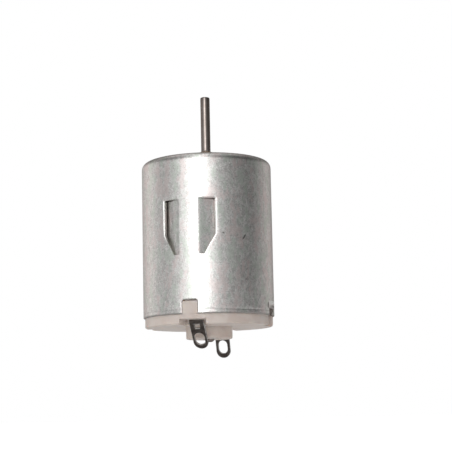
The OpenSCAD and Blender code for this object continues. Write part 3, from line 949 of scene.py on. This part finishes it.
def nylon():
    """Ivory moulded nylon, slightly translucent, with a fine sparked texture."""
    material, nodes, shader, place = new_material("nylon", (0.83, 0.78, 0.72))
    cloud = nodes.noise(place, 300, detail=3, rough=0.5)
    fine = nodes.noise(place, 8000, detail=2, rough=0.5)
    tone = nodes.mix(nodes.spread(cloud, 0.35, 0.65), rgb(*NYLON_DARK), rgb(*NYLON_LIGHT))
    shader.inputs["Subsurface Weight"].default_value = NYLON_INNER_SHARE
    shader.inputs["Subsurface Radius"].default_value = NYLON_INNER_TINT
    shader.inputs["Subsurface Scale"].default_value = NYLON_INNER_REACH * MM
    rough = nodes.spread(cloud, *NOISE_RANGE, *NYLON_ROUGH)
    dress(nodes, shader, tone, rough, nodes.bump(fine, NYLON_DEPTH * MM, 0.5))
    return material


def metal(name, preview, dark, light, rough, scale=900, stretch=(1, 1, 1), depth=0.008, strength=0.5,
          edge_highlight=None, edge_tint=None):
    """A metal: mottled tone, uneven roughness, fine directional bump and, if asked, a painted highlight
    on its rounded edges in another tone.
    """
    material, nodes, shader, place = new_material(name, preview)
    cloud = nodes.noise(place, scale, detail=4, rough=0.6)
    fine = nodes.noise(nodes.stretch(place, stretch), scale * FINE_METAL, detail=3, rough=0.6)
    tone = nodes.mix(nodes.spread(cloud, *MOTTLE), rgb(*dark), rgb(*light))
    if edge_highlight is not None:
        patchy = nodes.spread(nodes.noise(place, 1200, detail=2, rough=0.5), 0.35, 0.6, 0.35, 1.0)
        # Painted highlight along the rounded edges, in patches
        tone = nodes.mix(nodes.scaled(nodes.attribute(EDGE_HIGHLIGHT), patchy), tone, rgb(*edge_highlight))
    if edge_tint is not None:
        shader.inputs["Specular Tint"].default_value = rgb(*edge_tint)
    shader.inputs["Metallic"].default_value = 1
    uneven = nodes.spread(fine, 0.25, 0.75, rough - 0.05, rough + 0.05)
    dress(nodes, shader, tone, uneven, nodes.bump(fine, depth * MM, strength))
    return material


# Spacing of the stack's sheets and of the wire's turns
SHEET_PITCH = 0.5 * MM
WIRE_PITCH = 0.3 * MM


def banded(name, preview, dark, light, rough, across, pitch, metallic):
    """Round ridges side by side: the sheets of the stack or the turns of a winding."""
    material, nodes, shader, place = new_material(name, preview)
    along = nodes.dot(place, Vector(across).normalized() * (math.tau / pitch))
    wobble = nodes.scaled(nodes.noise(place, 500, detail=2, rough=0.5), 1.5)
    ridge = nodes.math("ABSOLUTE", nodes.math("SINE", nodes.sum(along, wobble)))
    cloud = nodes.noise(place, 1500, detail=3, rough=0.6)
    shade = nodes.scaled(nodes.spread(ridge, 0.0, 0.5), nodes.spread(cloud, 0.25, 0.6, 0.4, 1.0))
    tone = nodes.mix(shade, rgb(*dark), rgb(*light))
    shader.inputs["Metallic"].default_value = metallic
    uneven = nodes.spread(cloud, *NOISE_RANGE, rough - 0.05, rough + 0.08)
    dress(nodes, shader, tone, uneven, nodes.bump(ridge, pitch / 4, 0.8))
    return material


def matte(name, preview, dark, light, rough, scale=700, depth=0.02, strength=0.6):
    """A non-metal with a mottled tone, an uneven roughness and a fine bump."""
    material, nodes, shader, place = new_material(name, preview)
    cloud = nodes.noise(place, scale, detail=4, rough=0.6)
    fine = nodes.noise(place, scale * FINE_MATTE, detail=3, rough=0.6)
    tone = nodes.mix(nodes.spread(cloud, *MOTTLE), rgb(*dark), rgb(*light))
    uneven = nodes.spread(fine, *NOISE_RANGE, rough - 0.06, rough + 0.06)
    dress(nodes, shader, tone, uneven, nodes.bump(fine, depth * MM, strength))
    return material


# ---------------------------------------------------------------- floor and light

# Tall soft lights round the motor: azimuth from the camera's side in degrees, and strength
LIGHTS = {
    "behind": (-170, 0.22),
    "left_behind": (-140, 0.30),
    "left_edge": (-115, 0.57),
    "left_gap": (-90, 0.07),
    "left_fill": (-70, 0.26),
    "left_main": (-38, 0.50),
    "main": (-24, 0.75),
    "main_right": (-10, 0.70),
    "front_fill": (4, 0.48),
    "right_fill": (40, 0.14),
    "right_gap": (65, 0.03),
    "right_edge": (115, 0.17),
    "right_behind": (140, 0.30),
}
LIGHT_TIGHTNESS = 14.0

# A narrow bright strip inside the main light, seen as the streak on the polished shaft
STRIP_AZIMUTH = -13
STRIP_STRENGTH = 2.8
STRIP_TIGHTNESS = 180.0

# Even light between the others, and the level of all of them
AMBIENT = 0.085
LEVEL = 1.10

# They dim by this share above the horizon, and another light stands overhead; heights are sines
DIM_SHARE = 0.60
DIM_LOW = 0.22
DIM_HIGH = 0.50
TOP_LIGHT = 0.34
TOP_LOW = 0.70
TOP_HIGH = 0.96

# Light from behind the motor is warm; the limits are cosines from the camera's side
WARM = (1.0, 0.945, 0.925)
WARM_LOW = -0.05
WARM_HIGH = -0.55

# Floor, in metres, with its glow for the camera and its light for everything else
FLOOR_Z = -0.072
FLOOR_HALF = 3.0
FLOOR_GLOW = 0.78
FLOOR_LIGHT = 0.16
FLOOR_TONE = (0.86, 0.86, 0.86)
FLOOR_ROUGH = 0.9


def tall_light(nodes, flat, azimuth, strength, tightness):
    """A tall light at one azimuth, brightest in its middle."""
    a = VIEW_AZIMUTH + math.radians(azimuth)
    along = nodes.dot(flat, (math.sin(a), -math.cos(a), 0))
    power = nodes.scaled(nodes.math("SUBTRACT", along, 1.0), tightness)
    return nodes.scaled(nodes.math("EXPONENT", power), strength)


def add_world():
    """White backdrop for the camera; soft strips of light round the motor for everything else."""
    world = bpy.data.worlds.new("studio")
    world.use_nodes = True
    bpy.context.scene.world = world
    nodes = Nodes(world.node_tree)
    back = world.node_tree.nodes["Background"]
    direction = nodes.add("ShaderNodeTexCoord").outputs["Generated"]
    level = nodes.add("ShaderNodeVectorMath", operation="NORMALIZE")
    nodes.link(nodes.stretch(direction, (1, 1, 0)), level.inputs[0])
    flat = level.outputs[0]
    up = nodes.axes(direction)["Z"]

    total = AMBIENT
    for azimuth, strength in LIGHTS.values():
        total = nodes.sum(total, tall_light(nodes, flat, azimuth, strength, LIGHT_TIGHTNESS))
    strip = tall_light(nodes, flat, STRIP_AZIMUTH, STRIP_STRENGTH, STRIP_TIGHTNESS)
    total = nodes.sum(total, strip)
    dim = nodes.spread(up, DIM_LOW, DIM_HIGH, LEVEL, LEVEL * (1.0 - DIM_SHARE))
    top = nodes.spread(up, TOP_LOW, TOP_HIGH, 0.0, TOP_LIGHT)
    total = nodes.sum(nodes.scaled(total, dim), top)

    to_camera = nodes.dot(flat, (math.sin(VIEW_AZIMUTH), -math.cos(VIEW_AZIMUTH), 0))
    warm = nodes.spread(to_camera, WARM_HIGH, WARM_LOW, 1.0, 0.0)
    tint = nodes.mix(warm, rgb(1, 1, 1), rgb(*WARM))
    total = nodes.mix(1.0, total, tint, "MULTIPLY")
    nodes.link(nodes.mix(nodes.camera_ray(), total, rgb(1, 1, 1)), back.inputs["Color"])


def add_floor():
    """Plain pale floor, clear from below."""
    mesh = bpy.data.meshes.new("floor")
    h = FLOOR_HALF
    corners = [(-h, -h, FLOOR_Z), (h, -h, FLOOR_Z), (h, h, FLOOR_Z), (-h, h, FLOOR_Z)]
    mesh.from_pydata(corners, [], [(0, 1, 2, 3)])
    floor = make_object("floor", mesh)
    material, nodes, shader, _ = new_material("floor", (0.9, 0.9, 0.9))
    shader.inputs["Base Color"].default_value = rgb(*FLOOR_TONE)
    shader.inputs["Roughness"].default_value = FLOOR_ROUGH
    shader.inputs["Emission Color"].default_value = rgb(1, 1, 1)
    glow = nodes.spread(nodes.camera_ray(), 0.0, 1.0, FLOOR_LIGHT, FLOOR_GLOW)
    nodes.link(glow, shader.inputs["Emission Strength"])
    clear = nodes.add("ShaderNodeBsdfTransparent")
    mixed = nodes.add("ShaderNodeMixShader")
    nodes.link(nodes.add("ShaderNodeNewGeometry").outputs["Backfacing"], mixed.inputs[0])
    nodes.link(shader.outputs[0], mixed.inputs[1])
    nodes.link(clear.outputs[0], mixed.inputs[2])
    nodes.link(mixed.outputs[0], material.node_tree.nodes["Material Output"].inputs["Surface"])
    mesh.materials.append(material)


# ---------------------------------------------------------------- putting it together

# Widths of the rounded edges, in metres
CAP_EDGE = 0.12 * MM
TAG_EDGE = 0.1 * MM

add_camera()
add_world()
add_floor()
bpy.context.scene.view_settings.view_transform = "Standard"

# A metal or a matte: name, preview colour, dark tone, light tone and roughness
STEEL = can_steel()
NYLON = nylon()
# Tin with a painted highlight along the rounded edges of the tags
TIN = metal(
    "tinned_tag", (0.3, 0.29, 0.28), (0.065, 0.055, 0.05), (0.125, 0.11, 0.10), 0.25,
    edge_highlight=(0.80, 0.79, 0.77))
SHAFT_STEEL = metal(
    "shaft_steel", (0.4, 0.38, 0.36), (0.265, 0.225, 0.205), (0.32, 0.28, 0.26), 0.09,
    stretch=(0.2, 0.2, 3), depth=0.002, strength=0.3, edge_tint=(0.05, 0.035, 0.03))
FERRITE = matte("ferrite", (0.3, 0.28, 0.27), (0.20, 0.18, 0.17), (0.34, 0.30, 0.28), 0.6)
BRONZE = metal(
    "bearing_bronze", (0.55, 0.4, 0.26), (0.36, 0.24, 0.14), (0.58, 0.42, 0.27), 0.5,
    scale=2500, depth=0.03, strength=0.8)

finish_piece(build_can(), STATOR, STEEL, "can_steel", "can")
finish_piece(soften("end_cap", "nylon_cap", CAP_EDGE), STATOR, NYLON, "nylon", "end_cap")
for side in ("front", "rear"):
    tag = soften(f"{side}_tag", f"{side}_solder_tag", TAG_EDGE, edge_highlight=True)
    finish_piece(tag, STATOR, TIN, "tinned_tag", f"{side}_tag")
finish_piece(build_shaft(), ROTOR, SHAFT_STEEL, "shaft_steel", "shaft")
finish_piece(build_front_bearing(), STATOR, BRONZE, "bearing_bronze", "front_bearing")
finish_piece(build_rear_bearing(), STATOR, BRONZE, "bearing_bronze", "rear_bearing")

# Inside the closed motor the CAD's own pieces are shown, each in its own material
SPRING = metal(
    "spring_steel", (0.5, 0.49, 0.47), (0.38, 0.37, 0.36), (0.56, 0.55, 0.53), 0.28,
    stretch=(1, 1, 0.1))
LEAF = metal(
    "leaf_copper", (0.75, 0.5, 0.3), (0.66, 0.42, 0.25), (0.82, 0.56, 0.36), 0.30,
    stretch=(0.1, 1, 1))
SEGMENT = metal(
    "segment_copper", (0.75, 0.42, 0.28), (0.60, 0.32, 0.20), (0.84, 0.52, 0.37), 0.33,
    scale=1500, stretch=(0.3, 0.3, 6), depth=0.015)
CARBON = matte(
    "carbon", (0.1, 0.1, 0.1), (0.035, 0.035, 0.036), (0.085, 0.083, 0.08), 0.55,
    scale=2500)
LACQUER = matte(
    "insulator_lacquer", (0.2, 0.35, 0.25), (0.10, 0.22, 0.14), (0.17, 0.32, 0.21), 0.42,
    scale=1200)
PHENOLIC = matte("phenolic", (0.12, 0.1, 0.09), (0.05, 0.04, 0.035), (0.11, 0.085, 0.07), 0.5)
FIBRE = matte(
    "fibre_washer", (0.6, 0.5, 0.38), (0.46, 0.35, 0.24), (0.66, 0.54, 0.40), 0.75,
    scale=2500, depth=0.03)
STACK = banded(
    "stack_steel", (0.4, 0.4, 0.4), (0.24, 0.235, 0.23), (0.46, 0.455, 0.45), 0.42,
    across=(0, 0, 1), pitch=SHEET_PITCH, metallic=1)
WIRE = banded(
    "enamelled_wire", (0.6, 0.25, 0.12), (0.34, 0.085, 0.035), (0.72, 0.27, 0.12), 0.22,
    across=(1, 1, 0), pitch=WIRE_PITCH, metallic=0)

INSIDE = {
    "magnet_left": FERRITE,
    "magnet_right": FERRITE,
    "magnet_spring": SPRING,
    "front_brush_arm": LEAF,
    "rear_brush_arm": LEAF,
    "front_carbon_brush": CARBON,
    "rear_carbon_brush": CARBON,
    "lamination_stack": STACK,
    "front_insulator": LACQUER,
    "rear_insulator": LACQUER,
    "winding_1": WIRE,
    "winding_2": WIRE,
    "winding_3": WIRE,
    "commutator_barrel": PHENOLIC,
    "commutator_segment_1": SEGMENT,
    "commutator_segment_2": SEGMENT,
    "commutator_segment_3": SEGMENT,
    "commutator_ring": FIBRE,
    "front_spacer": FIBRE,
    "front_washers": FIBRE,
    "rear_washers": FIBRE,
}
for node, material in INSIDE.items():
    mesh = frame["nodes"][node].data
    mesh.materials.clear()
    mesh.materials.append(material)
